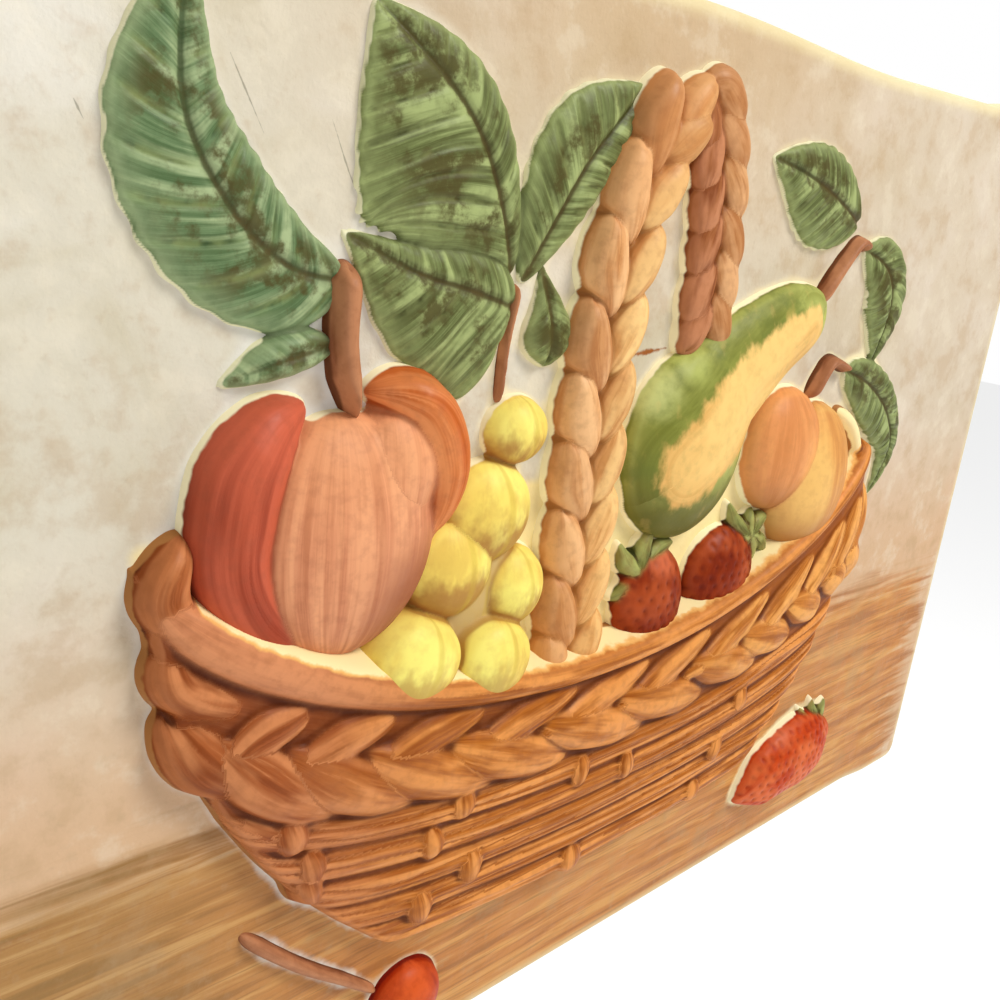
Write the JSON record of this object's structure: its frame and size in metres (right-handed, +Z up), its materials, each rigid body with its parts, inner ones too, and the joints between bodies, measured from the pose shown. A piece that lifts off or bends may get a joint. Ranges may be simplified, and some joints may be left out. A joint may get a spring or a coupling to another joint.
{
  "type": "decorative wall plaque",
  "caption": "Moulded, hand-painted wall plaque: a woven basket of fruit and leaves in relief on a flat plate with a gently waved top edge; hangs flat on a wall",
  "frame": {"origin": "on the flat back, at the middle of the plaque's width, where it lies against the wall", "axes": "+X to the viewer's right along the long side, -Y out of the wall (the painted relief faces -Y), +Z up"},
  "size_m": [0.46, 0.024, 0.3018],
  "materials": {
    "painted_plaster": "satin"
  },
  "bodies": {
    "root": {"plaque": "painted_plaster"}
  },
  "joints": []
}
